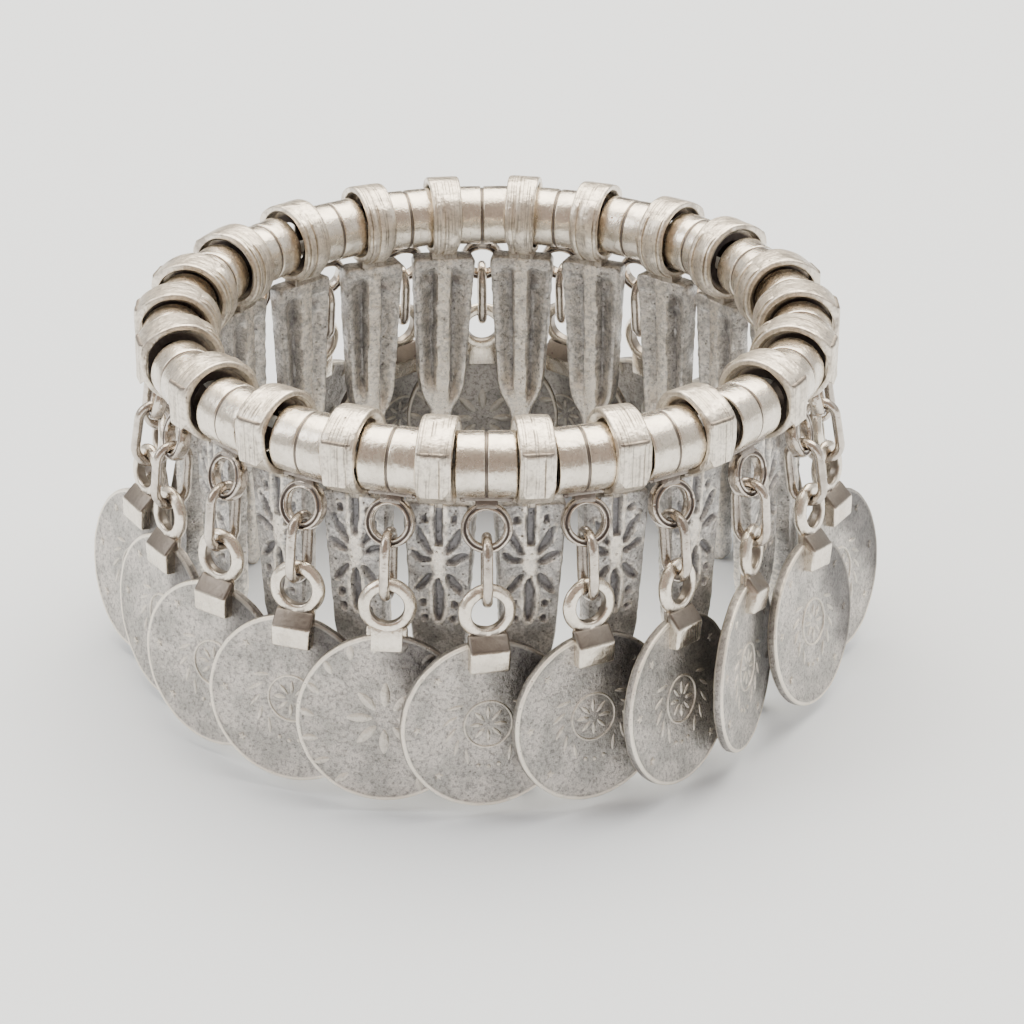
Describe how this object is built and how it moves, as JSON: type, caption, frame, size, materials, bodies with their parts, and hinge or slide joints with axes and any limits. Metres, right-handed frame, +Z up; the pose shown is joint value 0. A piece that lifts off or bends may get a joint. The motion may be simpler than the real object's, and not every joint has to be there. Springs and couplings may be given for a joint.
{
  "type": "stretch coin bracelet",
  "caption": "Silver-plated stretch bracelet of barrels and collars on elastic, with a long ornamented spike under each collar and a hanging coin under each barrel",
  "frame": {"origin": "on the floor plane at the axis of the ring, level with the tips of the spikes", "axes": "+Z up along the ring's axis, -Y towards the front of the picture, +X to its right"},
  "size_m": [0.0821, 0.0791, 0.0391],
  "materials": {
    "antique_silver": "silver-plated casting, dark in the hollows, polished on the collar",
    "coin_silver": "matt mottled antique silver with a worn bright rim",
    "bright_silver": "polished warm silver plate",
    "elastic": "translucent white elastic"
  },
  "bodies": {
    "root": {"spacer_01": "antique_silver", "spacer_02": "antique_silver", "spacer_03": "antique_silver", "spacer_04": "antique_silver", "spacer_05": "antique_silver", "spacer_06": "antique_silver", "spacer_07": "antique_silver", "spacer_08": "antique_silver", "spacer_09": "antique_silver", "spacer_10": "antique_silver", "spacer_11": "antique_silver", "spacer_12": "antique_silver", "spacer_13": "antique_silver", "spacer_14": "antique_silver", "spacer_15": "antique_silver", "spacer_16": "antique_silver", "spacer_17": "antique_silver", "spacer_18": "antique_silver", "spacer_19": "antique_silver", "spacer_20": "antique_silver", "spacer_21": "antique_silver", "spacer_22": "antique_silver", "coin_01": "coin_silver", "coin_02": "coin_silver", "coin_03": "coin_silver", "coin_04": "coin_silver", "coin_05": "coin_silver", "coin_06": "coin_silver", "coin_07": "coin_silver", "coin_08": "coin_silver", "coin_09": "coin_silver", "coin_10": "coin_silver", "coin_11": "coin_silver", "coin_12": "coin_silver", "coin_13": "coin_silver", "coin_14": "coin_silver", "coin_15": "coin_silver", "coin_16": "coin_silver", "coin_17": "coin_silver", "coin_18": "coin_silver", "coin_19": "coin_silver", "coin_20": "coin_silver", "coin_21": "coin_silver", "coin_22": "coin_silver", "barrels": "bright_silver", "links": "bright_silver", "elastic_cord": "elastic"}
  },
  "joints": []
}
